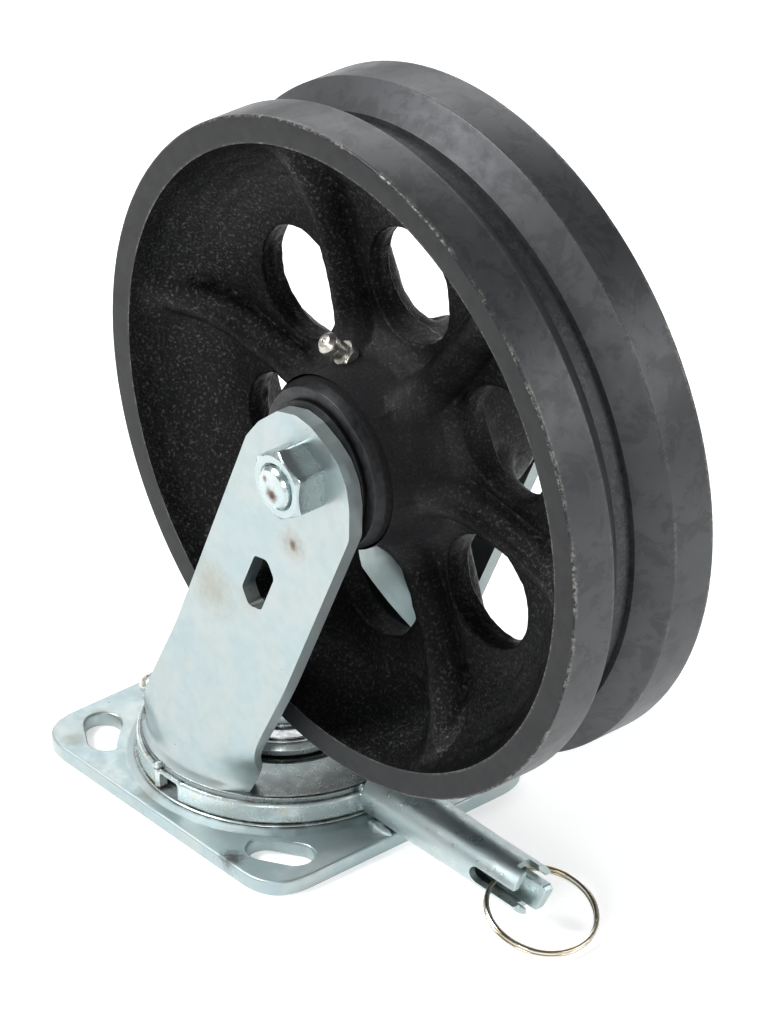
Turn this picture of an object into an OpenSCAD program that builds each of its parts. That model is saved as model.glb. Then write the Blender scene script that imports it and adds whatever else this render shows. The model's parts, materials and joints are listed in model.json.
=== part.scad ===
// V-groove swivel caster with a pull-ring swivel lock, standing on its top plate.
// Origin: swivel axis at the plate's mounting face. +X towards the lock, +Y along the axle, +Z to the wheel.

/* [Wheel] */
// Outside diameter of the wheel
wheel_d = 203.2; // [190:0.1:205]
// Width across the rim faces
wheel_w = 50.8; // [48:0.1:52]
// Width of the V groove at the tread
groove_w = 22.2; // [20:0.1:24]
// Radius of the truncated groove bottom
groove_bottom_r = 93.8; // [93:0.1:94.5]
// Inside radius of the machined rim face
rim_inner_r = 93.3; // [92.5:0.1:94]
// Half thickness of the web
web_half = 4.2; // [3.5:0.1:5]
// Half length of the hub
hub_half = 30.5; // [29:0.1:30.6]
// Bore radius of the hub
hub_bore_r = 14.65; // [14.6:0.01:15]
// Radius of each lightening hole
hole_r = 17; // [12:0.5:17]
// Distance of the lightening holes from the axle
hole_pitch_r = 51.8; // [51:0.1:53]
// Angle of the first rib from +X
rib_angle = -8.5; // [-30:0.5:30]
// Height of the axle above the mounting face
axle_h = 139.7; // [138:0.1:145]
// Offset of the axle from the swivel axis
lead = 57; // [54:0.5:58]

/* [Fork] */
// Distance between the two legs
leg_gap = 64; // [63.6:0.1:66]
// Sheet thickness of the fork
fork_t = 4.76; // [4.5:0.01:5]
// Half width of a leg
leg_half = 23.4; // [22:0.1:25]
// Radius of the fork's round base
base_r = 43; // [42.8:0.1:43.2]
// Radius of the legs where they leave the base
leg_base_r = 41; // [40.5:0.1:41.5]
// Underside of the fork's base
base_z = 10.8; // [10.7:0.1:10.9]

/* [Plate] */
// Plate length along X
plate_x = 114.3; // [112:0.1:120]
// Plate width along Y
plate_y = 101.6; // [100:0.1:110]
// Plate thickness
plate_t = 4.76; // [4.5:0.01:4.9]
// Corner radius of the plate
plate_corner_r = 15; // [8:1:16]
// Width of the bolt slots
slot_w = 11.1; // [10:0.1:12]

/* [Axle] */
// Axle bolt diameter
bolt_d = 12.7; // [12:0.1:12.8]
// Across-flats size of the axle nut and bolt head
nut_af = 19.05; // [18:0.05:20]
// Height of the axle nut
nut_h = 9.5; // [8:0.1:11]
// Outside radius of the spanner bushing
bush_r = 9.525; // [9.4:0.005:9.55]

/* [Lock] */
// Outside radius of the lock tube
tube_r = 7.95; // [7.9:0.01:8]
// Bore radius of the lock tube
tube_bore_r = 5.8; // [5.7:0.01:5.9]
// Height of the lock's axis above the mounting face
lock_z = 12.2; // [12.1:0.1:12.5]
// Start of the tube next to the fork
tube_x0 = 45.2; // [45:0.1:46]
// End of the tube
tube_x1 = 113; // [112:0.5:116]
// Radius of the plunger's nose
nose_r = 3.95; // [3.8:0.01:3.97]
// Position of the plunger's tip when it is drawn clear of the fork
nose_x = 44.9; // [44.7:0.1:45]
// Position of the ring hole in the plunger's blade
ring_x = 101.5; // [101:0.1:103]
// Middle radius of the pull ring
ring_r = 16.2; // [15:0.1:17]
// Slope of the hanging pull ring
ring_tilt = 18; // [15:0.5:18]

/* [Hidden] */
$fn = 64;

zinc = [0.80, 0.84, 0.83];
steel = [0.62, 0.63, 0.64];
iron = [0.22, 0.22, 0.23];
nickel = [0.66, 0.60, 0.50];

base_top = base_z + fork_t;
leg_in = leg_gap / 2;
leg_out = leg_in + fork_t;
lean = atan2(lead + 3.5, axle_h - base_z);
wheel_r = wheel_d / 2;
wheel_half = wheel_w / 2;
gap = 0.3;

// Main race: one row of balls between plate and fork
ball_r = 3.97;
ball_pitch_r = 33;
ball_z = 9.0;
ball_count = 22;
// Upper race: small balls between the fork's base and the cap
top_ball_r = 1.98;
top_ball_pitch_r = 16.5;
top_ball_z = base_top + 1.14;
top_ball_count = 20;
cap_r = 22.5;
cap_z0 = base_top + 0.4;
cap_top = 19.9;
pin_r = 8;
washer_top = 20.6;
pin_top = 22.6;

// Notches in the fork's edge for the lock
notch_r = nose_r + 0.35;
notch_depth_r = 38.2;
ring_out_r = base_r + 1.2;
ring_bottom = 6.9;
ring_top = 13.4;
ring_lip_r = 41.2;

// Heights between which the legs turn from round to flat
flare_z0 = 22;
flare_z1 = 62;
flare_step = 0.15;
leg_reach = 110;

// Keyed hole in each leg, below the axle bolt
keyed_drop = 50;
keyed_r = 9.25;
keyed_w = 9.5;

// Parts inside the lock tube, as places along X
front_bush_len = 3.8;
rear_bush_x = 80;
rear_bush_len = 6;
collar_x = 56;
collar_len = 4;
nose_len = 12.2;
stem_r = 3.2;
blade_x0 = 92.4;
blade_x1 = 121;
blade_h = 10;
blade_t = 3.2;
ring_hole_r = 2.1;
ring_wire_r = 0.8;

// Grease fittings
fitting_hole_r = 2.4;
swivel_fitting_angle = 213;
swivel_fitting_r = 39.1;
swivel_fitting_tilt = 26;
hub_fitting_angle = 104;

// Roller bearing and its end pieces
roller_r = 2.4;
roller_pitch_r = bush_r + gap + roller_r;
roller_half = 26;
roller_count = 10;
retainer_r = 16.5;
washer_r = 20.5;

// Hexagonal prism along Z with the given across-flats size
module hex(af, h) {
    cylinder(r = af / sqrt(3), h = h, $fn = 6);
}

// Turns a shape drawn about Z into one about the axle, with +Z becoming +Y
module on_axle() {
    translate([lead, 0, axle_h]) rotate([-90, 0, 0]) children();
}

// Turns a shape drawn about Z into one along the lock's axis, with +Z becoming +X
module on_lock(x) {
    translate([x, 0, lock_z]) rotate([0, 90, 0]) children();
}

// Washer or tube about Z
module tube(ro, ri, h) {
    difference() {
        cylinder(r = ro, h = h);
        translate([0, 0, -1]) cylinder(r = ri, h = h + 2);
    }
}

// Ring of separate balls about Z
module balls(n, r, pitch_r, z) {
    for (i = [0:n - 1])
        rotate([0, 0, (i + 0.5) * 360 / n]) translate([pitch_r, 0, z]) sphere(r = r);
}

// Grease fitting along +Z, from its thread to its ball head
module grease_fitting(thread_r, af, hex_h, neck_h) {
    head = hex_h + neck_h;
    difference() {
        union() {
            translate([0, 0, -4]) cylinder(r = thread_r, h = 4.1);
            hex(af, hex_h);
            translate([0, 0, hex_h - 0.1]) cylinder(r = 2.2, h = neck_h + 0.2);
            translate([0, 0, head]) cylinder(r1 = 2.4, r2 = 3.1, h = 1.2);
            translate([0, 0, head + 1.1]) cylinder(r = 3.1, h = 1.2);
            translate([0, 0, head + 2.2]) cylinder(r1 = 3.1, r2 = 1.7, h = 1.8);
        }
        translate([0, 0, head + 1]) cylinder(r = 0.6, h = 4);
    }
}

module slot_cut() {
    // Each slot runs between the two standard bolt positions of this plate size
    a = [46.04, 33.34];
    b = [38.1, 38.1];
    len = norm(a - b);
    for (mx = [0, 1], my = [0, 1])
        mirror([mx, 0, 0]) mirror([0, my, 0])
            translate([b[0], b[1], -1]) rotate([0, 0, atan2(a[1] - b[1], a[0] - b[0])]) {
                cylinder(d = slot_w, h = plate_t + 8);
                translate([len, 0, 0]) cylinder(d = slot_w, h = plate_t + 8);
                translate([0, -slot_w / 2, 0]) cube([len, slot_w, plate_t + 8]);
            }
}

module top_plate() {
    x = plate_x / 2 - plate_corner_r;
    y = plate_y / 2 - plate_corner_r;
    color(zinc) difference() {
        union() {
            for (sx = [-1, 1], sy = [-1, 1])
                translate([sx * x, sy * y, 0]) cylinder(r = plate_corner_r, h = plate_t);
            translate([-x, -plate_y / 2, 0]) cube([2 * x, plate_y, plate_t]);
            translate([-plate_x / 2, -y, 0]) cube([plate_x, 2 * y, plate_t]);
            // Pressed boss that carries the main race
            rotate_extrude() polygon([[0, 1], [49, 1], [49, plate_t], [45.6, plate_t + 1],
                [40, plate_t + 1], [38, 7.3], [27.5, 7.3], [26, 6], [0, 6]]);
        }
        slot_cut();
        // Seat of the lock tube
        on_lock(tube_x0 - 0.2) cylinder(r = tube_r + 0.02, h = 20);
        // Groove of the main race
        rotate_extrude() translate([ball_pitch_r, ball_z]) circle(r = ball_r + 0.03);
        // Countersink and bore for the kingpin
        translate([0, 0, -1]) cylinder(r = pin_r + 0.02, h = 20);
        translate([0, 0, -0.01]) cylinder(r1 = pin_r + 4.08, r2 = pin_r + 0.02, h = 4.06);
    }
}

module lower_race_ring() {
    color(steel) rotate_extrude() polygon([[40.2, plate_t + 1], [44.7, plate_t + 1],
        [45, plate_t + 1.3], [44.6, plate_t + 1.7], [41, plate_t + 1.7], [40.2, plate_t + 2.4]]);
}

module main_race_balls() {
    color(steel) balls(ball_count, ball_r, ball_pitch_r, ball_z);
}

module upper_race_balls() {
    color(steel) balls(top_ball_count, top_ball_r, top_ball_pitch_r, top_ball_z);
}

module upper_race_cap() {
    color(zinc) difference() {
        rotate_extrude() polygon([[0, cap_z0], [cap_r, cap_z0], [cap_r, cap_top - 1.8],
            [cap_r - 0.7, cap_top - 0.6], [cap_r - 2, cap_top], [0, cap_top]]);
        // Ball track and the clearance under the cap
        rotate_extrude() polygon([[11, 0], [20, 0], [20, cap_z0 + 1], [18.6, cap_top - 1.2],
            [14.4, cap_top - 1.2], [11, cap_z0 + 1]]);
        translate([0, 0, -1]) cylinder(r = pin_r + 0.02, h = 40);
    }
}

module kingpin() {
    color(zinc) rotate_extrude() polygon([[0, 0], [pin_r + 4, 0], [pin_r, 4],
        [pin_r, washer_top + 0.01], [14, washer_top + 0.01], [14, pin_top - 1], [12.6, pin_top - 0.2],
        [10, pin_top], [0, pin_top]]);
}

module kingpin_washer() {
    color(steel) translate([0, 0, cap_top]) tube(19.4, pin_r + 0.02, washer_top - cap_top);
}

// Tube of the lock, slotted along both sides for the ring and notched to park it
module lock_housing() {
    slot_h = 5.5;
    slot_x = 94.2;
    park_d = 4;
    park_w = 5;
    color(zinc) difference() {
        on_lock(tube_x0) tube(tube_r, tube_bore_r, tube_x1 - tube_x0);
        translate([slot_x, -tube_r - 1, lock_z - slot_h / 2])
            cube([tube_x1 - slot_x + 1, 2 * tube_r + 2, slot_h]);
        translate([tube_x1 - park_d, -park_w / 2, lock_z - tube_r - 1])
            cube([park_d + 1, park_w, 2 * tube_r + 2]);
    }
}

// Fillet welds along both sides of the tube on the plate's edge
module lock_weld_beads() {
    color(zinc) for (s = [0, 1]) mirror([0, s, 0]) difference() {
        translate([49.3, tube_r - 3.4, plate_t]) rotate([0, 90, 0]) rotate([0, 0, 90])
            linear_extrude(7.2) polygon([[0, 0], [6.4, 0], [5.2, 1.9], [3.9, 4.2], [1, 4.2]]);
        on_lock(40) cylinder(r = tube_r + 0.03, h = 30);
    }
}

module lock_front_bush() {
    color(steel) on_lock(tube_x0) tube(tube_bore_r, nose_r + 0.06, front_bush_len);
}

module lock_rear_bush() {
    color(steel) on_lock(rear_bush_x) tube(tube_bore_r, stem_r + 0.06, rear_bush_len);
}

// Closed sleeve in the outline of the coil spring
module lock_spring() {
    start = collar_x + collar_len + 0.1;
    color(steel) on_lock(start) tube(tube_bore_r - 0.6, stem_r + 0.8, rear_bush_x - start - 0.1);
}

module lock_plunger() {
    color(zinc) difference() {
        union() {
            on_lock(nose_x + 1) cylinder(r = nose_r, h = nose_len - 1);
            on_lock(nose_x) cylinder(r1 = nose_r - 1, r2 = nose_r, h = 1.01);
            on_lock(collar_x) cylinder(r = tube_bore_r - 0.06, h = collar_len);
            on_lock(collar_x + 1) cylinder(r = stem_r, h = blade_x0 - collar_x + 2);
            // Flattened tail with a sloping end
            translate([0, blade_t / 2, lock_z]) rotate([90, 0, 0]) linear_extrude(blade_t)
                polygon([[blade_x0, -stem_r], [blade_x0 + 3, -blade_h / 2], [blade_x1 - 5, -blade_h / 2],
                    [blade_x1 - 0.6, blade_h / 2 - 1.6], [blade_x1 - 1.8, blade_h / 2],
                    [blade_x0 + 3, blade_h / 2], [blade_x0, stem_r]]);
        }
        translate([ring_x, 5, lock_z]) rotate([90, 0, 0]) cylinder(r = ring_hole_r, h = 10);
    }
}

// Split ring of two touching turns, hanging from the blade
module pull_ring() {
    color(nickel) translate([ring_x, 0, lock_z]) rotate([0, ring_tilt, 0]) translate([ring_r, 0, 0])
        rotate_extrude() translate([ring_r, 0]) union() {
            for (s = [-1, 1]) translate([0, 0.75 * s * ring_wire_r]) circle(r = ring_wire_r);
        }
}

// Outline of a leg seen from the side, in the row's X and Z
module leg_outline() {
    foot = -axle_h - leg_half;
    translate([lead, axle_h]) rotate(-lean) polygon([[-leg_half, foot], [-leg_half, -9],
        [-leg_half + 2.2, 0], [-16.5, 10], [-10, 15.5], [-4, 17.5], [4, 17.5], [10, 16.3],
        [15.5, 12.5], [19.4, 6.8], [leg_half, -2.5], [leg_half, foot]]);
}

// Solid that narrows from the round base to the flat legs
module leg_envelope(r, y, z0) {
    translate([0, 0, z0]) cylinder(r = r, h = flare_z0 - z0);
    hull() {
        translate([0, 0, flare_z0 - 0.1]) cylinder(r = r + flare_step, h = 0.1);
        translate([-40, -y, flare_z1]) cube([120, 2 * y, 0.1]);
    }
}

module fork_legs() {
    difference() {
        intersection() {
            leg_envelope(leg_base_r, leg_out, base_z + 1);
            translate([0, 60, 0]) rotate([90, 0, 0]) linear_extrude(120) leg_outline();
        }
        leg_envelope(leg_base_r - fork_t, leg_in, base_top);
    }
    for (s = [-1, 1])
        intersection() {
            translate([-40, s * (leg_in + fork_t / 2) - fork_t / 2, flare_z1])
                cube([140, fork_t, leg_reach]);
            translate([0, 60, 0]) rotate([90, 0, 0]) linear_extrude(120) leg_outline();
        }
}

// Arched notches in the fork's edge at the four lock positions
module lock_notches() {
    for (a = [0:90:270]) rotate([0, 0, a]) {
        translate([notch_depth_r, 0, lock_z]) rotate([0, 90, 0]) cylinder(r = notch_r, h = 12);
        translate([notch_depth_r, -notch_r, 2]) cube([12, 2 * notch_r, lock_z - 2]);
    }
}

// Double-D hole for a keyed axle, below the axle bolt
module keyed_hole() {
    translate([lead, 0, axle_h]) rotate([0, lean, 0]) translate([0, 0, -keyed_drop])
        rotate([90, 0, 0]) intersection() {
            cylinder(r = keyed_r, h = 120, center = true);
            cube([keyed_w, 30, 121], center = true);
        }
}

module fork() {
    color(zinc) difference() {
        union() {
            translate([0, 0, base_z]) cylinder(r = base_r, h = fork_t);
            fork_legs();
        }
        translate([0, 0, -1]) cylinder(r = 10.4, h = 40);
        rotate_extrude() translate([ball_pitch_r, ball_z]) circle(r = ball_r + gap);
        rotate_extrude() translate([top_ball_pitch_r, top_ball_z]) circle(r = top_ball_r + 0.2);
        lock_notches();
        keyed_hole();
        on_axle() translate([0, 0, -60]) cylinder(r = bolt_d / 2 + 0.15, h = 120);
        swivel_fitting_place() {
            translate([0, 0, -4.2]) cylinder(r = fitting_hole_r, h = 8);
            translate([0, 0, 0.85]) cylinder(r = 4.4, h = 8);
        }
    }
}

module notched_lock_ring() {
    inner_r = base_r + 0.03;
    color(zinc) difference() {
        rotate_extrude() polygon([[ring_lip_r, ring_bottom], [ring_out_r - 0.3, ring_bottom],
            [ring_out_r, ring_bottom + 0.3], [ring_out_r, ring_top - 0.4], [ring_out_r - 0.4, ring_top],
            [inner_r, ring_top], [inner_r, base_z - 0.02], [ring_lip_r, base_z - 0.02]]);
        lock_notches();
    }
}

// Place of the grease fitting in the fork's base, leaning outwards
module swivel_fitting_place() {
    rotate([0, 0, swivel_fitting_angle]) translate([swivel_fitting_r, 0, base_top])
        rotate([0, swivel_fitting_tilt, 0]) children();
}

module swivel_grease_fitting() {
    color(nickel) swivel_fitting_place() translate([0, 0, 0.9])
        grease_fitting(fitting_hole_r - 0.05, 6.8, 2.4, 0.6);
}

module axle_bolt() {
    color(zinc) on_axle() {
        translate([0, 0, -leg_out - nut_h - 0.6]) cylinder(r = bolt_d / 2, h = 2 * leg_out + nut_h + 0.7);
        translate([0, 0, -leg_out - nut_h - 1.6]) cylinder(r1 = bolt_d / 2 - 1.4, r2 = bolt_d / 2, h = 1.01);
        translate([0, 0, leg_out]) intersection() {
            hex(nut_af, 7.9);
            cylinder(r1 = nut_af / 2 + 8, r2 = nut_af / 2 + 0.1, h = 7.9);
        }
    }
}

module axle_nut() {
    color(zinc) on_axle() translate([0, 0, -leg_out - nut_h]) difference() {
        intersection() {
            rotate([0, 0, 30]) hex(nut_af, nut_h);
            cylinder(r1 = nut_af / 2, r2 = nut_af / 2 + nut_h, h = nut_h);
        }
        translate([0, 0, -1]) cylinder(r = bolt_d / 2 + 0.02, h = nut_h + 2);
    }
}

module axle_bushing() {
    color(steel) on_axle() translate([0, 0, -leg_in]) tube(bush_r, bolt_d / 2 + 0.05, leg_gap);
}

module thrust_washers() {
    color(iron) on_axle() for (s = [-1, 1])
        translate([0, 0, s * (leg_in - 0.75) - 0.6]) tube(washer_r, bush_r + 0.05, 1.2);
}

// Half of the wheel's section as radius and axial place, on the +Y side
function wheel_half_section() = [
    [hub_bore_r, hub_half], [24.6, hub_half], [25.4, hub_half - 0.8], [26.3, 24], [27.3, 14], [29.5, 8],
    [33.5, web_half], [72, web_half], [80, 7.5], [86, 12], [90.5, 18], [rim_inner_r, wheel_half],
    [wheel_r - 1, wheel_half], [wheel_r, wheel_half - 1], [wheel_r, groove_w / 2],
    [groove_bottom_r, groove_w / 2 - wheel_r + groove_bottom_r],
    [groove_bottom_r - 2, groove_w / 2 - wheel_r + groove_bottom_r]];

// Section of one rib as radius and axial place
function rib_section() = [[24, 0], [24, 15], [30, 11], [38, 8.6], [50, 7.8], [62, 8], [74, 10],
    [82, 13], [88, 17], [92, 20], [92, 0]];

module v_groove_wheel() {
    half = wheel_half_section();
    n = len(half);
    color(iron) on_axle() difference() {
        union() {
            rotate_extrude() polygon(concat(half, [for (i = [n - 1:-1:0]) [half[i][0], -half[i][1]]]));
            for (i = [0:5], s = [0, 1]) rotate([0, 0, -rib_angle - 60 * i]) mirror([0, 0, s])
                translate([0, 4, 0]) rotate([90, 0, 0]) linear_extrude(8) polygon(rib_section());
        }
        for (i = [0:5]) rotate([0, 0, -rib_angle - 60 * i - 30])
            translate([hole_pitch_r, 0, -30]) cylinder(r = hole_r, h = 60);
        translate([0, 0, -40]) cylinder(r = hub_bore_r, h = 80);
        for (s = [0, 1]) mirror([0, 0, s]) translate([0, 0, hub_half - 2]) cylinder(r = retainer_r, h = 4);
        // Drilled hole and spot face of the grease fitting
        hub_fitting_place() {
            translate([0, 0, -4.2]) cylinder(r = fitting_hole_r, h = 12);
            translate([0, 0, 1.15]) cylinder(r = 4.8, h = 8);
        }
    }
}

// Place of the grease fitting on the hub, in the wheel's own axis frame
module hub_fitting_place() {
    rotate([0, 0, -hub_fitting_angle]) translate([26.5, 0, -13]) rotate([0, 135, 0]) children();
}

module hub_grease_fitting() {
    color(nickel) on_axle() hub_fitting_place() translate([0, 0, 1.2])
        grease_fitting(fitting_hole_r - 0.05, 7.6, 3.2, 3.8);
}

module bearing_rollers() {
    color(steel) on_axle() for (i = [0:roller_count - 1])
        rotate([0, 0, i * 360 / roller_count]) translate([roller_pitch_r, 0, -roller_half])
            cylinder(r = roller_r, h = 2 * roller_half);
}

// Cage of two end rings joined by bars between the rollers
module roller_cage() {
    color(steel) on_axle() {
        for (s = [-1, 1])
            translate([0, 0, s * (roller_half + 1) - 0.8]) tube(14.4, bush_r + gap, 1.6);
        for (i = [0:roller_count - 1]) rotate([0, 0, (i + 0.5) * 360 / roller_count])
            translate([roller_pitch_r - 0.5, -0.6, -roller_half - 0.5]) cube([1.6, 1.2, 2 * roller_half + 1]);
    }
}

module hub_retaining_rings() {
    color(steel) on_axle() for (s = [-1, 1])
        translate([0, 0, s * (hub_half - 1) - 1]) tube(retainer_r, bush_r + gap, 2);
}

top_plate();
lower_race_ring();
main_race_balls();
upper_race_balls();
upper_race_cap();
kingpin();
kingpin_washer();
lock_housing();
lock_weld_beads();
lock_front_bush();
lock_rear_bush();
lock_spring();
lock_plunger();
pull_ring();
fork();
notched_lock_ring();
swivel_grease_fitting();
axle_bolt();
axle_nut();
axle_bushing();
thrust_washers();
v_groove_wheel();
roller_cage();
bearing_rollers();
hub_retaining_rings();
hub_grease_fitting();
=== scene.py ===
import json
import math

import bmesh
import bpy
import numpy as np
from mathutils import Matrix, Vector, noise
from mathutils.geometry import tessellate_polygon


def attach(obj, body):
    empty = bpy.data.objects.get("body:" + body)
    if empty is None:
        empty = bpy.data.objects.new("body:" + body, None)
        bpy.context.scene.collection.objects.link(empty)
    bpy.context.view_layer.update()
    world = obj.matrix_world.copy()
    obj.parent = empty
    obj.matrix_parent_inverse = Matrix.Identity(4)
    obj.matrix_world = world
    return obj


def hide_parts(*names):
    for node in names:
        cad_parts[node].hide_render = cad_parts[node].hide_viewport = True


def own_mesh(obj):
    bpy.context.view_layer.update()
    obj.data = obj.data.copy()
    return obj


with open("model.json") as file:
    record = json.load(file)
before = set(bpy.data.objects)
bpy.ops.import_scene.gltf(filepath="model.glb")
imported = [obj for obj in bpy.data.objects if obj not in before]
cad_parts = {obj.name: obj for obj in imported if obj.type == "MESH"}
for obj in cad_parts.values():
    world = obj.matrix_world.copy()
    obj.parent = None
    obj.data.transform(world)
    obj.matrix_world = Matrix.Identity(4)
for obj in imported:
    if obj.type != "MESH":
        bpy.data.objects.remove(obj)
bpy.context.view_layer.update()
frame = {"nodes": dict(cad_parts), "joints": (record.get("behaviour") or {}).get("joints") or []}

# Lengths below are in millimetres and become metres when a piece is made.
MM = 0.001
joints = {j["name"]: j for j in frame["joints"]}
AXLE = np.array(joints["wheel_spin"]["pos_m"]) / MM
PIVOT = np.array(joints["ring_swing"]["pos_m"]) / MM

X, Y, Z = np.eye(3)
PLATE_T = 4.76
BASE_Z, BASE_TOP, BASE_R = 10.8, 15.56, 43.0
FORK_T = 4.76
LEG_OUT = 36.76
LEAN = math.atan2(AXLE[0] + 3.5, AXLE[2] - BASE_Z)
WHEEL_R, WHEEL_HALF, GROOVE_HALF = 101.6, 25.4, 11.1
TUBE_R, TUBE_BORE = 7.95, 5.8


# ---------------------------------------------------------------- geometry helpers

class Solid:
    """Collects grids and faces of one piece, in millimetres and in the frame's own axes."""

    def __init__(self):
        self.points, self.faces, self.slots = [], [], []

    def grid(self, points, wrap_rows=False, wrap_columns=True, slot=0, row_slots=None):
        """Quads over an array of rows x columns x 3."""
        points = np.asarray(points, float)
        rows, columns, _ = points.shape
        first = len(self.points)
        self.points.extend(points.reshape(-1, 3))
        for r in range(rows if wrap_rows else rows - 1):
            s = slot if row_slots is None else row_slots[r]
            r2 = (r + 1) % rows
            for c in range(columns if wrap_columns else columns - 1):
                c2 = (c + 1) % columns
                self.faces.append([first + r * columns + c, first + r * columns + c2,
                                   first + r2 * columns + c2, first + r2 * columns + c])
                self.slots.append(s)

    def face(self, indices, slot=0):
        self.faces.append(list(indices))
        self.slots.append(slot)

    def fan(self, points, slot=0):
        """One flat face through these points."""
        first = len(self.points)
        self.points.extend(np.asarray(points, float))
        self.face(range(first, first + len(points)), slot)

    def capped(self, rows):
        """A grid over closed loops, with a flat face on the first loop and on the last."""
        self.grid(rows)
        self.fan(rows[0])
        self.fan(rows[-1])

    def mesh(self, name, merge=1e-3):
        data = bpy.data.meshes.new(name)
        data.from_pydata([tuple(p * MM) for p in self.points], [], self.faces)
        data.polygons.foreach_set("material_index", self.slots)
        bm = bmesh.new()
        bm.from_mesh(data)
        bmesh.ops.remove_doubles(bm, verts=bm.verts, dist=merge * MM)
        loose = [f for f in bm.faces if f.calc_area() < 1e-14]
        bmesh.ops.delete(bm, geom=loose, context="FACES_ONLY")
        bmesh.ops.recalc_face_normals(bm, faces=bm.faces)
        bm.to_mesh(data)
        bm.free()
        return data


def made(name, data, body, nodes, materials, sharp=40):
    """A finished piece: smooth faces, sharp edges by angle, its materials, and its place in the frame."""
    piece = bpy.data.objects.new(name, data)
    bpy.context.scene.collection.objects.link(piece)
    for m in materials:
        data.materials.append(m)
    data.polygons.foreach_set("use_smooth", [True] * len(data.polygons))
    data.set_sharp_from_angle(angle=math.radians(sharp))
    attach(piece, body)
    if nodes:
        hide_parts(*nodes)
    return piece


def weighted(piece):
    """Keeps wide flat faces flat beside their rounded edges."""
    w = piece.modifiers.new("flat_faces", "WEIGHTED_NORMAL")
    w.keep_sharp = True
    return piece


def bevelled(piece, width, segments=2, angle=40):
    b = piece.modifiers.new("soft_edges", "BEVEL")
    b.width = width * MM
    b.segments = segments
    b.limit_method = "ANGLE"
    b.angle_limit = math.radians(angle)
    b.harden_normals = False
    b.use_clamp_overlap = True
    return weighted(piece)


def rounded(points, steps=4, closed=False):
    """2D points (x, y, radius) as a dense line whose corners are arcs."""
    out, n = [], len(points)
    for i, (x, y, radius) in enumerate(points):
        here = np.array([x, y], float)
        if radius <= 0 or (not closed and i in (0, n - 1)):
            out.append(here)
            continue
        before = np.array(points[i - 1][:2], float) - here
        after = np.array(points[(i + 1) % n][:2], float) - here
        lb, la = np.linalg.norm(before), np.linalg.norm(after)
        half = math.acos(max(-1, min(1, before @ after / (lb * la)))) / 2
        reach = min(radius / math.tan(half), 0.49 * lb, 0.49 * la)
        a, b = here + before / lb * reach, here + after / la * reach
        for k in range(steps + 1):
            t = k / steps
            out.append((1 - t) ** 2 * a + 2 * t * (1 - t) * here + t * t * b)
    return np.array(out)


def turned(profile, origin, axis, start, steps=96):
    """Rows x columns x 3 of a profile (radius, along) turned about an axis."""
    side = np.cross(axis, start)
    angles = np.radians(np.arange(steps) * 360.0 / steps)
    ring = np.outer(np.cos(angles), start) + np.outer(np.sin(angles), side)
    return np.array([np.asarray(origin) + r * ring + a * np.asarray(axis) for r, a in profile])


def lathe(solid, profile, origin, axis, start, steps=96, slot=0, row_slots=None, closed=False):
    """Adds a turned profile to a solid; closed joins its last row to its first."""
    points = turned(profile, origin, axis, start, steps)
    solid.grid(points, wrap_rows=closed, slot=slot, row_slots=row_slots)


def shrunk(loop, distance):
    """A closed 2D loop moved to its left by a distance."""
    loop = np.asarray(loop, float)
    d = np.roll(loop, -1, 0) - loop
    d /= np.maximum(np.linalg.norm(d, axis=1), 1e-9)[:, None]
    left = np.stack([-d[:, 1], d[:, 0]], 1)
    before = np.roll(left, 1, 0)
    mitre = left + before
    mitre /= np.maximum((mitre * left).sum(1), 0.2)[:, None]
    return loop + mitre * distance


def area(loop):
    x, y = np.asarray(loop).T
    return 0.5 * np.sum(x * np.roll(y, -1) - np.roll(x, -1) * y)


def slab(solid, outer, holes, origin, u, v, n, z0, z1, low=0.5, high=0.5, slot=0, wall=None, hole_wall=None):
    """A flat sheet with holes whose edges are rounded: low and high are the edge radii at z0 and z1."""
    loops = [np.asarray(outer, float)] + [np.asarray(h, float) for h in holes]
    loops = [l if (area(l) > 0) == (i == 0) else l[::-1] for i, l in enumerate(loops)]
    u, v, n, origin = (np.asarray(k, float) for k in (u, v, n, origin))
    levels = []
    for k in range(5):
        a = math.radians(22.5 * k)
        levels.append((low * (1 - math.sin(a)), z0 + low * (1 - math.cos(a))))
    for k in range(5):
        a = math.radians(22.5 * k)
        levels.append((high * (1 - math.cos(a)), z1 - high * (1 - math.sin(a))))
    wall = slot if wall is None else wall
    hole_wall = wall if hole_wall is None else hole_wall

    def place(loop, z):
        return origin + np.outer(loop[:, 0], u) + np.outer(loop[:, 1], v) + z * n

    for i, loop in enumerate(loops):
        rows = [place(shrunk(loop, inset), z) for inset, z in levels]
        solid.grid(rows, slot=hole_wall if i else wall)
    for (inset, z), turn in ((levels[0], 1), (levels[-1], 0)):
        flat = [shrunk(loop, inset) for loop in loops]
        triangles = tessellate_polygon([[Vector((*p, 0)) for p in loop] for loop in flat])
        first = len(solid.points)
        solid.points.extend(np.concatenate([place(loop, z) for loop in flat]))
        for t in triangles:
            solid.face([first + i for i in (t[::-1] if turn else t)], slot)


def ring_points(radius, count, centre=(0, 0), start=0.0, sweep=360.0):
    a = np.radians(start + np.arange(count) * sweep / count)
    return np.stack([centre[0] + radius * np.cos(a), centre[1] + radius * np.sin(a)], 1)


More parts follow.
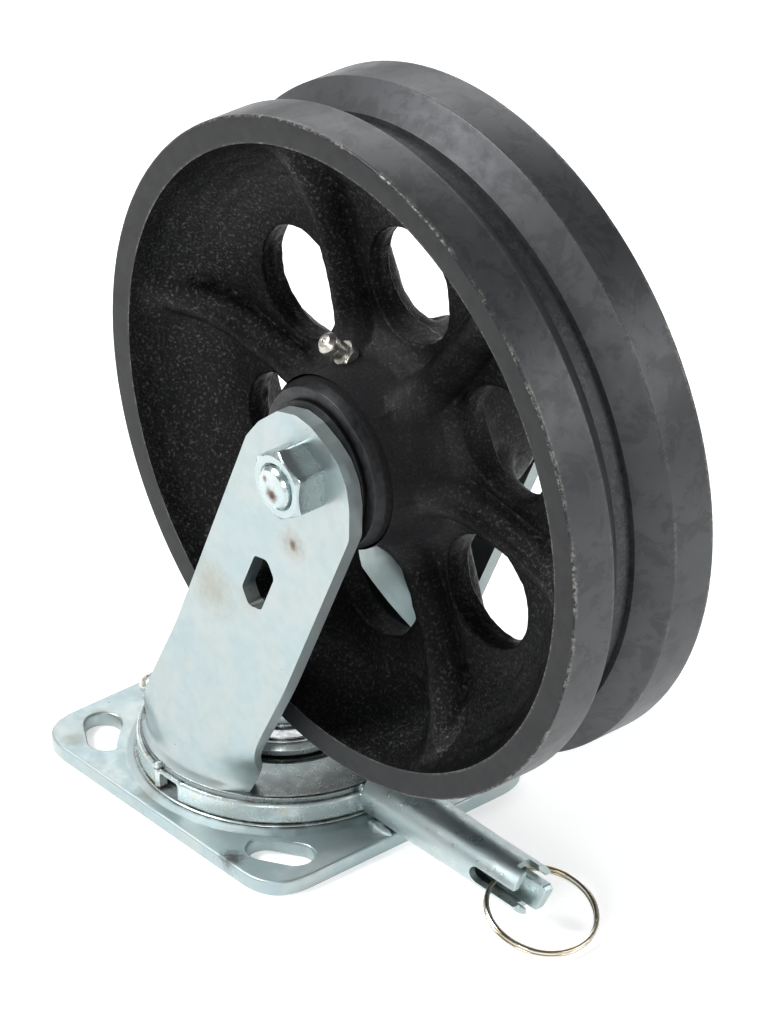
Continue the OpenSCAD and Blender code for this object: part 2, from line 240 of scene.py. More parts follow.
def cut(piece, cutters):
    """Takes other objects out of a piece and keeps the result as its mesh."""
    for cutter in cutters:
        m = piece.modifiers.new("cut", "BOOLEAN")
        m.object, m.operation, m.solver = cutter, "DIFFERENCE", "EXACT"
    bpy.context.view_layer.update()
    depsgraph = bpy.context.evaluated_depsgraph_get()
    data = bpy.data.meshes.new_from_object(piece.evaluated_get(depsgraph))
    piece.modifiers.clear()
    piece.data = data
    for cutter in cutters:
        bpy.data.objects.remove(cutter)
    data.polygons.foreach_set("use_smooth", [True] * len(data.polygons))
    data.set_sharp_from_angle(angle=math.radians(35))
    return piece


def cutter(solid, name="cutter"):
    data = solid.mesh(name)
    o = bpy.data.objects.new(name, data)
    bpy.context.scene.collection.objects.link(o)
    return o


def smooth_table(points, lo, hi, blur):
    """A function through these (x, y) points with its corners softened over a width."""
    x = np.linspace(lo, hi, 1201)
    y = np.interp(x, [p[0] for p in points], [p[1] for p in points])
    half = max(1, int(blur / (x[1] - x[0])))
    kernel = np.hanning(2 * half + 3)
    kernel /= kernel.sum()
    y = np.convolve(np.pad(y, half + 1, mode="edge"), kernel, mode="valid")
    return lambda q: np.interp(q, x, y)


def eased(t):
    t = np.clip(t, 0, 1)
    return t * t * (3 - 2 * t)


def roughen(data, scales, keep=None, seed=0.0):
    """Moves each vertex along its normal by noise; scales are (size in mm, height in mm)."""
    count = len(data.vertices)
    co, no = np.zeros(count * 3), np.zeros(count * 3)
    data.vertices.foreach_get("co", co)
    data.vertices.foreach_get("normal", no)
    co, no = co.reshape(-1, 3), no.reshape(-1, 3)
    amount = np.zeros(count)
    offset = Vector((seed, seed * 0.7, seed * 1.3))
    for size, height in scales:
        inverse = 1 / (size * MM)
        amount += height * np.array([noise.noise(Vector(p) * inverse + offset) for p in co])
    if keep is not None:
        amount *= keep(co / MM)
    co += no * (amount * MM)[:, None]
    data.vertices.foreach_set("co", co.ravel())
    data.update()


# ---------------------------------------------------------------- material helpers

class Paint:
    """Short way to write one material's node tree. Texture sizes are in millimetres."""

    def __init__(self, name):
        self.material = bpy.data.materials.new(name)
        self.material.use_nodes = True
        self.tree = self.material.node_tree
        self.shader = self.tree.nodes["Principled BSDF"]
        self.where = self.new("ShaderNodeTexCoord").outputs["Object"]

    def new(self, kind):
        return self.tree.nodes.new(kind)

    def put(self, socket, value):
        if isinstance(value, bpy.types.NodeSocket):
            self.tree.links.new(value, socket)
        elif value is not None:
            socket.default_value = value

    def noise(self, size, detail=4.0, rough=0.55, where=None, twist=0.0):
        n = self.new("ShaderNodeTexNoise")
        self.put(n.inputs["Vector"], where or self.where)
        self.put(n.inputs["Scale"], 1000.0 / size)
        self.put(n.inputs["Detail"], detail)
        self.put(n.inputs["Roughness"], rough)
        self.put(n.inputs["Distortion"], twist)
        return n.outputs["Fac"]

    def cells(self, size):
        """Distance to the nearest of scattered points that are about this far apart."""
        n = self.new("ShaderNodeTexVoronoi")
        self.put(n.inputs["Vector"], self.where)
        self.put(n.inputs["Scale"], 1000.0 / size)
        return n.outputs["Distance"]

    def stretched(self, x, y, z, turn=(0, 0, 0)):
        n = self.new("ShaderNodeMapping")
        self.put(n.inputs["Vector"], self.where)
        n.inputs["Scale"].default_value = (x, y, z)
        n.inputs["Rotation"].default_value = tuple(math.radians(t) for t in turn)
        return n.outputs["Vector"]

    def part(self, value, lo, hi, to_lo=0.0, to_hi=1.0):
        n = self.new("ShaderNodeMapRange")
        n.interpolation_type = "SMOOTHSTEP"
        for name, v in (("Value", value), ("From Min", lo), ("From Max", hi),
                        ("To Min", to_lo), ("To Max", to_hi)):
            self.put(n.inputs[name], v)
        return n.outputs["Result"]

    def maths(self, operation, a, b=None):
        n = self.new("ShaderNodeMath")
        n.operation = operation
        self.put(n.inputs[0], a)
        self.put(n.inputs[1], b)
        return n.outputs[0]

    def mix(self, factor, a, b, blend="MIX"):
        n = self.new("ShaderNodeMix")
        n.data_type, n.blend_type = "RGBA", blend
        self.put(n.inputs["Factor"], factor)
        for name, v in (("A", a), ("B", b)):
            socket = [s for s in n.inputs if s.name == name and s.type == "RGBA"][0]
            self.put(socket, v if isinstance(v, bpy.types.NodeSocket) else (*v, 1))
        return [s for s in n.outputs if s.type == "RGBA"][0]

    def axes(self):
        n = self.new("ShaderNodeSeparateXYZ")
        self.put(n.inputs[0], self.where)
        return n.outputs

    def bump(self, height, strength, distance=0.3, below=None):
        n = self.new("ShaderNodeBump")
        self.put(n.inputs["Height"], height)
        n.inputs["Strength"].default_value = strength
        n.inputs["Distance"].default_value = distance * MM
        self.put(n.inputs["Normal"], below)
        return n.outputs["Normal"]

    def done(self, colour, roughness, metallic, normal=None, **sockets):
        s = self.shader.inputs
        self.put(s["Base Color"], colour if isinstance(colour, bpy.types.NodeSocket) else (*colour, 1))
        self.put(s["Roughness"], roughness)
        self.put(s["Metallic"], metallic)
        if normal is not None:
            self.put(s["Normal"], normal)
        for name, v in sockets.items():
            self.put(s[name.replace("_", " ")], v)
        return self.material


def zinc(name, blue=0.5, grain=0.35, dirt=0.25, rough=0.3, stains=(), yellow=0.2, dull=1.0, metal=0.93,
         sand=0.12, shaded_seams=()):
    """Bright zinc plate: bluish white with faint gold clouds, fine grain, tiny dark specks and stains, and
    painted shade along the seams where parts meet.
    stains are (place in mm, size in mm, colour, amount); each seam entry is a band of painted shade, as
    (height in mm, width in mm, amount)."""
    p = Paint(name)
    cloud = p.noise(14, 3, 0.6)
    tint = p.noise(5, 4, 0.65, twist=0.4)
    cool = (0.45 * dull, 0.54 * dull, 0.555 * dull)
    neutral = (0.495 * dull, 0.55 * dull, 0.545 * dull)
    warm = (0.545 * dull, 0.54 * dull, 0.47 * dull)
    colour = p.mix(p.part(cloud, 0.35, 0.65, 0.15, blue + 0.35), neutral, cool)
    colour = p.mix(p.part(tint, 0.52, 0.72, 0, yellow), colour, warm)
    speck = p.cells(7.0)
    small = p.noise(0.9, 2, 0.5)
    dots = p.maths("MULTIPLY", p.part(speck, 0.05, 0.02), p.part(small, 0.45, 0.55))
    smear = p.part(p.noise(2.2, 5, 0.7, twist=0.6), 0.62, 0.8, 0, dirt)
    colour = p.mix(smear, colour, (0.34, 0.33, 0.29))
    colour = p.mix(p.maths("MULTIPLY", dots, 0.8), colour, (0.05, 0.045, 0.04))
    wear = p.maths("MULTIPLY", smear, 0.25)
    for place, size, shade, amount in stains:
        d = p.new("ShaderNodeVectorMath")
        d.operation = "DISTANCE"
        p.put(d.inputs[0], p.where)
        d.inputs[1].default_value = tuple(c * MM for c in place)
        ragged = p.maths("ADD", d.outputs["Value"], p.maths("MULTIPLY", p.noise(1.6, 4, 0.7), size * 0.0011))
        mask = p.part(ragged, size * 0.0015, size * 0.0006, 0, amount)
        colour = p.mix(mask, colour, shade)
        wear = p.maths("ADD", wear, p.maths("MULTIPLY", mask, 0.3))
    fine = p.noise(0.45, 3, 0.6)
    patch = p.noise(3.5, 4, 0.6)
    roughness = p.maths("ADD", p.part(patch, 0.3, 0.7, rough - 0.07, rough + 0.1), wear)
    scratch = p.noise(0.5, 2, 0.5, where=p.stretched(1.0, 0.05, 0.05, (12, 8, 20)))
    height = p.maths("ADD", p.maths("MULTIPLY", fine, grain), p.maths("MULTIPLY", scratch, 0.07))
    normal = p.bump(height, 0.3, 0.05)
    normal = p.bump(p.noise(0.5, 5, 0.75), sand, 0.16, normal)
    normal = p.bump(p.noise(7, 2, 0.5), 0.2, 0.2, normal)
    # Dark bands at the heights where parts meet: painted shade in the joints, made uneven by noise.
    if shaded_seams:
        level = p.axes()[2]
        seam_shade_breakup = p.part(p.noise(5, 4, 0.65), 0.35, 0.6, 0.35, 1.0)
        for at, width, amount in shaded_seams:
            off = p.maths("ABSOLUTE", p.maths("SUBTRACT", level, at * MM))
            mask = p.maths("MULTIPLY", p.part(off, width * MM, width * 0.3 * MM, 0, amount), seam_shade_breakup)
            colour = p.mix(mask, colour, (0.055, 0.05, 0.035))
    return p.done(colour, roughness, metal, normal)


def rough_iron():
    """Sand-cast iron under thin black paint, with small glints and a painted highlight near the hub."""
    p = Paint("cast_iron_rough")
    sand = p.noise(0.95, 7, 0.7)
    lumps = p.noise(3.6, 4, 0.6)
    wide = p.noise(24, 3, 0.5)
    colour = p.mix(p.part(wide, 0.35, 0.7), (0.003, 0.0031, 0.0036), (0.0075, 0.0073, 0.007))
    colour = p.mix(p.part(sand, 0.6, 0.76, 0, 0.3), colour, (0.022, 0.021, 0.02))
    # Lighter colour near the hub: painted highlight standing in for the hub boss's reflections.
    colour = p.mix(p.part(wheel_radius(p), 0.042, 0.028, 0, 0.85), colour, (0.038, 0.038, 0.04))
    roughness = p.part(lumps, 0.3, 0.7, 0.28, 0.38)
    normal = p.bump(sand, 0.6, 0.5)
    normal = p.bump(lumps, 0.35, 0.9, normal)
    glints = p.part(sand, 0.5, 0.73, 0.12, 0.85)
    raised = p.maths("MULTIPLY", glints, p.part(wheel_radius(p), 0.062, 0.084, 0.7, 1.7))
    return p.done(colour, roughness, 0.0, normal, Specular_IOR_Level=raised)


def wheel_radius(p):
    """Distance from the axle, in metres, as a node output."""
    x, _, z = p.axes()
    dx = p.maths("SUBTRACT", x, AXLE[0] * MM)
    dz = p.maths("SUBTRACT", z, AXLE[2] * MM)
    return p.maths("SQRT", p.maths("ADD", p.maths("MULTIPLY", dx, dx), p.maths("MULTIPLY", dz, dz)))


def machined_iron(name, shade, blotch, edge_wear, rough):
    """Turned cast iron: satin dark grey, fine turning marks, blotches, and bare bright edges."""
    p = Paint(name)
    radius = wheel_radius(p)
    _, y, _ = p.axes()
    broad = p.noise(26, 4, 0.6, twist=0.3)
    mottle = p.noise(4.5, 5, 0.7)
    base = tuple(shade * k for k in (0.94, 0.99, 1.05))
    dark = tuple(c * 0.5 for c in base)
    light = tuple(c * 1.6 for c in base)
    colour = p.mix(p.part(broad, 0.4, 0.62, 0, 0.2), base, dark)
    smudge = p.noise(9, 8, 0.74, twist=0.5)
    colour = p.mix(p.part(smudge, 0.5, 0.57, 0, 0.45), colour, dark)
    colour = p.mix(p.part(mottle, 0.55, 0.75, 0, blotch), colour, light)
    scuff = p.part(p.noise(1.1, 4, 0.75, twist=0.8), 0.42, 0.62)
    long_scuff = p.part(p.noise(9, 4, 0.7), 0.38, 0.58)
    # Bare edges, by distances in metres: the tread's outer corner, the dish's edge and the groove's lip.
    far = p.maths("ABSOLUTE", y)
    outer = p.maths("MULTIPLY", p.part(radius, 0.1007, 0.1013), p.part(far, 0.0238, 0.0249))
    inner = p.part(radius, 0.0942, 0.0934)
    lip = p.maths("MULTIPLY", p.part(far, 0.0124, 0.0112), p.part(radius, 0.1004, 0.1014))
    edges = p.maths("MAXIMUM", outer, p.maths("MULTIPLY", inner, 0.6))
    edges = p.maths("MAXIMUM", edges, p.maths("MULTIPLY", lip, 0.3))
    wear = p.maths("MULTIPLY", edges, p.maths("MULTIPLY", scuff, long_scuff))
    colour = p.mix(p.maths("MULTIPLY", wear, edge_wear), colour, (0.30, 0.285, 0.26))
    rust = p.part(p.noise(3.0, 5, 0.7), 0.66, 0.8, 0, 0.35)
    colour = p.mix(p.maths("MULTIPLY", rust, p.maths("ADD", edges, 0.12)), colour, (0.16, 0.085, 0.05))
    round_axle = p.new("ShaderNodeCombineXYZ")
    p.put(round_axle.inputs[0], radius)
    p.put(round_axle.inputs[1], y)
    marks = p.noise(0.35, 2, 0.5, where=round_axle.outputs[0])
    pits = p.cells(3.4)
    pit = p.part(pits, 0.10, 0.03)
    height = p.maths("SUBTRACT", p.maths("MULTIPLY", marks, 0.35), p.maths("MULTIPLY", pit, 0.8))
    height = p.maths("ADD", height, p.maths("MULTIPLY", p.noise(0.7, 4, 0.7), 0.5))
    roughness = p.maths("SUBTRACT", p.part(mottle, 0.3, 0.7, rough - 0.03, rough + 0.05),
                        p.maths("MULTIPLY", wear, 0.12))
    return p.done(colour, roughness, 0.42, p.bump(height, 0.35, 0.12), Specular_IOR_Level=0.65)


def plain_metal(name, colour, rough, metallic=1.0, grain=0.3, second=None, size=3.0):
    """Metal with a cloudy second tone, fine grain and worn patches."""
    p = Paint(name)
    other = second or tuple(c * 0.72 for c in colour)
    tone = p.mix(p.part(p.noise(size, 4, 0.65, twist=0.4), 0.4, 0.66), colour, other)
    roughness = p.part(p.noise(1.4, 3, 0.6), 0.3, 0.7, rough - 0.06, rough + 0.1)
    return p.done(tone, roughness, metallic, p.bump(p.noise(0.5, 3, 0.6), grain, 0.05))


IRON = rough_iron()
RIM = machined_iron("iron_rim_face", 0.0175, 0.3, 0.8, 0.48)
TREAD = machined_iron("iron_tread", 0.084, 0.2, 0.9, 0.36)
GROOVE = machined_iron("iron_groove", 0.082, 0.08, 0.3, 0.53)
HUB_FACE = plain_metal("hub_face", (0.028, 0.029, 0.031), 0.38, 0.3, 0.5, (0.014, 0.0145, 0.015))
WASHER = plain_metal("black_washer", (0.008, 0.0085, 0.009), 0.42, 0.2, 0.3)
NICKEL = plain_metal("nickel", (0.70, 0.66, 0.58), 0.17, 1.0, 0.1, (0.52, 0.45, 0.34), 9.0)
STEEL = plain_metal("bright_steel", (0.52, 0.53, 0.54), 0.28, 1.0, 0.3)
FITTING = plain_metal("fitting_plate", (0.62, 0.61, 0.57), 0.3, 0.9, 0.2, (0.50, 0.48, 0.43), 6.0)
PLATE_STAINS = (
    ((35.6, -48.7, 4.76), 6, (0.05, 0.045, 0.04), 0.75),
    ((-50, -31.4, 4.76), 5, (0.55, 0.42, 0.2), 0.45),
    ((-44, -45.5, 4.76), 5, (0.35, 0.33, 0.27), 0.4),
    ((-6, -46.6, 4.76), 7, (0.3, 0.29, 0.25), 0.5),
)
LEG_STAINS = (
    ((52.2, -36.76, 114.7), 2.6, (0.06, 0.045, 0.035), 0.9),
    ((52.2, -36.76, 114.7), 8, (0.36, 0.30, 0.25), 0.5),
    ((14.4, -36.76, 83.6), 14, (0.42, 0.38, 0.30), 0.5),
    ((31.9, -36.76, 86.9), 7, (0.45, 0.41, 0.34), 0.35),
)
# The seam bands below are painted shade where parts meet: ring, lip, cap and washer on the stack, the race
# lip on the plate, and the legs on the base top.
STACK_SHADED_SEAMS = ((6.9, 0.7, 0.85), (13.5, 0.5, 0.7), (16.1, 0.6, 0.9), (19.9, 0.35, 0.7))
ZINC_PLATE = zinc("zinc_plate", 1.0, 0.35, 0.25, 0.42, metal=0.72, dull=0.9, sand=0.06, stains=PLATE_STAINS,
                  shaded_seams=((6.0, 0.5, 0.6),))
# A darker copy of the plate's zinc for the slot walls only: painted shade inside the slots.
ZINC_SLOT = zinc("zinc_slot_wall", 0.8, 0.3, 0.2, 0.36, dull=0.8, metal=0.7)
ZINC_FORK = zinc("zinc_fork", 0.45, 0.1, 0.12, 0.35, dull=0.85, sand=0.02, yellow=0.3, stains=LEG_STAINS)
ZINC_EDGE = zinc("zinc_cut_edge", 0.1, 0.4, 0.25, 0.36, dull=0.92, metal=0.5, sand=0.05)
# The base top's darker zinc (dull 0.55, against 0.85 on the legs of the same pressed part) is painted shade
# from the wheel over it.
ZINC_BASE = zinc("zinc_base_top", 0.0, 1.6, 0.2, 0.27, dull=0.55, metal=0.95, yellow=0.4, sand=0.4,
                 shaded_seams=((15.4, 0.9, 0.4),))
ZINC_STACK = zinc("zinc_stack", 0.1, 0.3, 0.2, 0.22, yellow=0.8, metal=0.5, sand=0.05, dull=1.2,
                  shaded_seams=STACK_SHADED_SEAMS)
ZINC_LOCK = zinc("zinc_lock", 0.5, 1.6, 0.1, 0.33, metal=0.85, sand=0.45, dull=1.08)
ZINC_NUT = zinc("zinc_nut", 0.3, 0.05, 0.06, 0.22, sand=0.0, metal=0.75, dull=0.92)


# ---------------------------------------------------------------- wheel

RIB_ANGLE = -8.5
HOLE_R, HOLE_PITCH = 17.0, 51.8
DISH_IN, DISH_OUT = 26.1, 93.3
web_height = smooth_table([(25, 34), (26.1, 26), (26.9, 18), (28.1, 11.5), (30.5, 7.4), (34, 4.9), (38, 4.0),
                           (70, 4.0), (75, 5.2), (80, 7.8), (84.5, 11.2), (88, 15.0), (91, 19.6),
                           (93.3, 25.4), (95, 30)], 25, 95, 0.9)
crest_height = smooth_table([(25, 22), (28, 18.0), (32, 14.2), (38, 11.6), (46, 10.8), (58, 10.8),
                             (68, 11.6), (77, 13.4), (84, 15.8), (88, 18.0), (91, 21.0), (93.3, 24),
                             (95, 30)], 25, 95, 2.0)


def dish_height(x, z):
    """Half thickness of the casting at a place on one sector, whose ribs lie 30 degrees to each side."""
    r, a = np.hypot(x, z), np.arctan2(z, x)
    web = web_height(r)
    off = r * np.abs(np.sin(math.radians(30) - np.abs(a)))
    half, deep = 7.0, np.maximum(crest_height(r) - web, 0) + 2.5
    bar = crest_height(r) - deep * (1 - np.maximum(1 - (off / half) ** 2, 0) ** 0.55)
    blend = np.clip(0.5 + (bar - web) / 3.2, 0, 1)
    return web * (1 - blend) + bar * blend + 0.8 * blend * (1 - blend)


def sector_grid():
    """Rows x columns of (x, z, height) from one side's edge, over the hole's wall, to the other side."""
    side, arc_out, arc_in = 52, 48, 20
    radii = DISH_IN + (DISH_OUT - DISH_IN) * np.linspace(0, 1, side, endpoint=False)
    a30 = math.radians(30)
    lower = np.stack([radii * math.cos(-a30), radii * math.sin(-a30)], 1)
    t = np.linspace(-a30, a30, arc_out, endpoint=False)
    outer = np.stack([DISH_OUT * np.cos(t), DISH_OUT * np.sin(t)], 1)
    upper = np.stack([radii, np.zeros(side)], 1)
    upper = (DISH_OUT + DISH_IN - upper[:, 0])[:, None] * np.array([math.cos(a30), math.sin(a30)])
    t = np.linspace(a30, -a30, arc_in, endpoint=False)
    inner = np.stack([DISH_IN * np.cos(t), DISH_IN * np.sin(t)], 1)
    border = np.concatenate([lower, outer, upper, inner])
    centre = np.array([HOLE_PITCH, 0.0])
    away = border - centre
    away /= np.linalg.norm(away, axis=1)[:, None]
    soft = 1.0
    rows = []
    rim = centre + away * (HOLE_R + soft)
    for f in 1 - (1 - np.linspace(0, 1, 32)) ** 1.25:
        p = rim + (border - rim) * f
        rows.append(np.column_stack([p, dish_height(p[:, 0], p[:, 1])]))
    rows = rows[::-1]
    top = rows[-1][:, 2]
    for a in np.radians([72, 52, 32, 14, 0]):
        p = centre + away * (HOLE_R + soft * (1 - math.cos(a)))
        rows.append(np.column_stack([p, top - soft * (1 - math.sin(a))]))
    wall_top = rows[-1][:, 2]
    for f in (0.66, 0.33):
        p = centre + away * (HOLE_R - 0.25 * (1 - f))
        rows.append(np.column_stack([p, wall_top * f]))
    middle = centre + away * (HOLE_R - 0.35)
    rows.append(np.column_stack([middle, np.zeros(len(border))]))
    return np.array(rows)


def wheel_casting():
    solid = Solid()
    half = sector_grid()
    other = half[-2::-1].copy()
    other[:, :, 2] *= -1
    both = np.concatenate([half, other])
    for k in range(6):
        a = math.radians(RIB_ANGLE + 30 + 60 * k)
        c, s = math.cos(a), math.sin(a)
        x = both[:, :, 0] * c - both[:, :, 1] * s
        z = both[:, :, 0] * s + both[:, :, 1] * c
        solid.grid(np.stack([AXLE[0] + x, both[:, :, 2], AXLE[2] + z], 2))
    data = solid.mesh("wheel_casting", 2e-3)

    def keep(p):
        r = np.hypot(p[:, 0] - AXLE[0], p[:, 2] - AXLE[2])
        return eased((DISH_OUT - 0.3 - r) / 2.5) * eased((r - DISH_IN - 0.2) / 1.5)

    roughen(data, ((26, 0.6), (7.5, 0.36), (2.4, 0.2)), keep, seed=3.1)
    return data


def wheel_turned_parts():
    """Rim, tread, groove and hub ends, with the same edges as the casting."""
    solid = Solid()
    side = [(DISH_OUT, WHEEL_HALF, 0), (WHEEL_R, WHEEL_HALF, 0.9), (WHEEL_R, GROOVE_HALF, 0.6),
            (93.8, GROOVE_HALF - WHEEL_R + 93.8, 0.25), (91.8, 3.3, 0)]
    profile = rounded([(r, y, q) for r, y, q in side] + [(r, -y, q) for r, y, q in side[::-1]], 5)
    mid_r = (profile[:-1, 0] + profile[1:, 0]) / 2
    mid_y = np.abs(profile[:-1, 1] + profile[1:, 1]) / 2
    slots = [1 if y > WHEEL_HALF - 0.3 else (2 if r > WHEEL_R - 0.5 else 3) for r, y in zip(mid_r, mid_y)]
    lathe(solid, profile, AXLE, Y, X, 300, row_slots=slots)
    for s in (-1, 1):
        hub = rounded([(25.7, 20.0, 0), (25.3, 27.4, 1.5), (23.9, 30.3, 0.5), (16.6, 30.3, 0.3),
                       (16.5, 28.4, 0)], 4)
        lathe(solid, [(r, a * s) for r, a in hub], AXLE, Y, X, 120, row_slots=[0] * 5 + [4] * (len(hub) - 6))
    lathe(solid, [(14.65, -28.4), (14.65, 28.4)], AXLE, Y, X, 72, slot=4)
    return solid.mesh("wheel_turned")


def join(name, *meshes):
    bm = bmesh.new()
    for m in meshes:
        bm.from_mesh(m)
    bmesh.ops.remove_doubles(bm, verts=bm.verts, dist=1e-3 * MM)
    data = bpy.data.meshes.new(name)
    bm.to_mesh(data)
    bm.free()
    return data


made("wheel", join("wheel", wheel_casting(), wheel_turned_parts()), "wheel", ["v_groove_wheel"],
     [IRON, RIM, TREAD, GROOVE, HUB_FACE], 50)
washers = Solid()
for s in (-1, 1):
    ring = rounded([(9.6, 30.65, 0), (20.5, 30.65, 0.25), (20.5, 31.85, 0.25), (9.6, 31.85, 0)])
    lathe(washers, [(r, a * s) for r, a in ring], AXLE, Y, X, 96, closed=True)
made("thrust_washer_pair", washers.mesh("washers"), "fork", ["thrust_washers"], [WASHER])


# ---------------------------------------------------------------- fork

LEG_LEFT = [(-4, 17.5, 3), (-10, 15.5, 2), (-16.5, 10, 2), (-21.2, 0, 2), (-23.4, -9, 2)]
LEG_RIGHT = [(4, 17.5, 3), (10, 16.3, 5), (15.5, 12.5, 5), (19.4, 6.8, 5), (23.4, -2.5, 6)]
FOOT_LEFT, FOOT_RIGHT = -21.0, 23.4
# The flare at the foot dies out over this width beside the leg's right edge.
LEG_WIDTH, FLARE_FADE = 46.8, 9
ACROSS = np.array([math.cos(LEAN), -math.sin(LEAN)])
UPWARD = np.array([math.sin(LEAN), math.cos(LEAN)])


def leg_point(a, b):
    """(x, z) of a place on the leg: a across it, b up along it from the axle."""
    return np.array([AXLE[0], AXLE[2]]) + a * ACROSS + b * UPWARD


def leg_depth(x, z):
    """Distance of the leg's outer face from the middle plane, before its bends are softened."""
    t = np.clip((z - 22) / 40, 0, 1)
    r = 41 * (1 - t)
    off = x - np.clip(x, -40 * t, 80 * t)
    return LEG_OUT * t + np.sqrt(np.maximum(r * r - off * off, 0))


def leg_outer(x, z):
    steps = np.linspace(-7, 7, 9)
    weights = np.hanning(11)[1:-1]
    y = sum(w * leg_depth(x, z + d) for w, d in zip(weights, steps)) / weights.sum()
    y = np.where(z > 69, LEG_OUT, y)
    flare = np.clip((20.5 - z) / 4.94, 0, 1)
    return y, 1 + (1 - np.sqrt(1 - 0.97 * flare ** 2)) * 2.0 / 41


def edge_line(corners, bottom_a):
    """Places down one side of the leg, from its head to the base's top."""
    foot_b = (BASE_TOP - 1.6 - AXLE[2] + bottom_a * math.sin(LEAN)) / math.cos(LEAN)
    line = rounded([(0, 17.5, 0)] + corners + [(bottom_a, foot_b, 0)], 4)[1:]
    keys = np.concatenate([[0], np.cumsum(np.linalg.norm(np.diff(line, axis=0), axis=1))])
    head = keys[-2]
    want = np.concatenate([np.linspace(0, head, 26), head + (keys[-1] - head) * np.linspace(0, 1, 78)[1:]])
    return np.stack([np.interp(want, keys, line[:, 0]), np.interp(want, keys, line[:, 1])], 1)


def leg_mesh(sign):
    left, right = edge_line(LEG_LEFT, FOOT_LEFT), edge_line(LEG_RIGHT, FOOT_RIGHT)
    columns = 34
    f = np.linspace(0, 1, columns)
    rows = np.array([[leg_point(*(l + (r - l) * k)) for k in f] for l, r in zip(left, right)])
    x, z = rows[:, :, 0], rows[:, :, 1]
    y, grow = leg_outer(x, z)
    grow = 1 + (grow - 1) * eased((1 - f) * LEG_WIDTH / FLARE_FADE)
    outer = np.stack([x * grow, y * grow, z], 2)
    du = np.gradient(np.stack([x, y, z], 2), axis=1)
    dv = np.gradient(np.stack([x, y, z], 2), axis=0)
    n = np.cross(du, dv)
    n /= np.maximum(np.linalg.norm(n, axis=2), 1e-9)[:, :, None]
    n *= np.sign(n[:, :, 1:2])
    inner = np.stack([x, y, z], 2) - n * FORK_T
    inner[0], inner[:, 0, 2], inner[:, -1, 2] = inner[0], z[:, 0], z[:, -1]
    inner[:, :, 2] = np.maximum(inner[:, :, 2], BASE_TOP - 1.6)
    outer[:, :, 1] *= sign
    inner[:, :, 1] *= sign
    solid = Solid()
    solid.grid(outer, wrap_columns=False)
    solid.grid(inner, wrap_columns=False)
    border = [(0, c) for c in range(columns)] + [(r, columns - 1) for r in range(1, len(rows))]
    border += [(len(rows) - 1, c) for c in range(columns - 2, -1, -1)]
    border += [(r, 0) for r in range(len(rows) - 2, 0, -1)]
    o = np.array([outer[i] for i in border])
    i = np.array([inner[k] for k in border])
    solid.grid([o, (2 * o + i) / 3, (o + 2 * i) / 3, i], slot=1)
    return solid.mesh("leg")


def keyed_cutter():
    """Cutter for the keyed hole below the axle, through both legs."""
    cx, cz = leg_point(0, -50)
    d = rounded([(4.75, -7.3, 2.2), (4.75, 7.3, 2.2), (0, 10.6, 2.4), (-4.75, 7.3, 2.2), (-4.75, -7.3, 2.2),
                 (0, -10.6, 2.4)], 5, closed=True)
    loop = np.array([q[0] * ACROSS + q[1] * UPWARD for q in d])
    solid = Solid()
    pts = np.array([[cx + p[0], 0, cz + p[1]] for p in loop])
    solid.capped([pts - 60 * Y, pts + 60 * Y])
    return cutter(solid)


def fork_piece():
    pieces = []
    for sign in (-1, 1):
        data = leg_mesh(sign)
        piece = bpy.data.objects.new("leg", data)
        bpy.context.scene.collection.objects.link(piece)
        data.materials.append(ZINC_FORK)
        data.materials.append(ZINC_EDGE)
        cut(piece, [keyed_cutter()])
        pieces.append(piece)
    data = join("fork", *[p.data for p in pieces])
    for p in pieces:
        bpy.data.objects.remove(p)
    return data


fork = made("fork_legs", fork_piece(), "fork", ["fork"], [ZINC_FORK, ZINC_EDGE], 40)
bevelled(fork, 0.55, 3, 50)

base = Solid()
disc = rounded([(10.4, BASE_Z, 0), (BASE_R - 0.6, BASE_Z, 0), (BASE_R, BASE_Z + 1.2, 0.6),
                (BASE_R, 15.2, 0.9),
                (41.5, 15.25, 0.5), (27, 16.5, 1.2), (24.3, 15.6, 0.6), (10.4, 15.2, 0)], 5)
lathe(base, disc, (0, 0, 0), Z, X, 240, closed=True)


NOTCH_HALF, NOTCH_LOW, NOTCH_HIGH, NOTCH_ROUND = 4.25, 5.5, 12.5, 1.4


def notch_cutters():
    """Cutters for the four lock notches, across the base's edge and the ring under it."""
    outline = rounded([(-NOTCH_HALF, NOTCH_LOW, 0), (NOTCH_HALF, NOTCH_LOW, 0),
                       (NOTCH_HALF, NOTCH_HIGH, NOTCH_ROUND), (-NOTCH_HALF, NOTCH_HIGH, NOTCH_ROUND)],
                      5, closed=True)
    found = []
    for k in range(4):
        a = math.radians(90 * k)
        out = np.array([math.cos(a), math.sin(a), 0])
        side = np.array([-math.sin(a), math.cos(a), 0])
        pts = np.array([p[0] * side + p[1] * Z for p in outline])
        solid = Solid()
        solid.capped([pts + 38.0 * out, pts + 52 * out])
        found.append(cutter(solid))
    return found


base_piece = made("fork_base", base.mesh("base"), "fork", [], [ZINC_BASE])
cut(base_piece, notch_cutters())
bevelled(base_piece, 0.3, 2, 45)


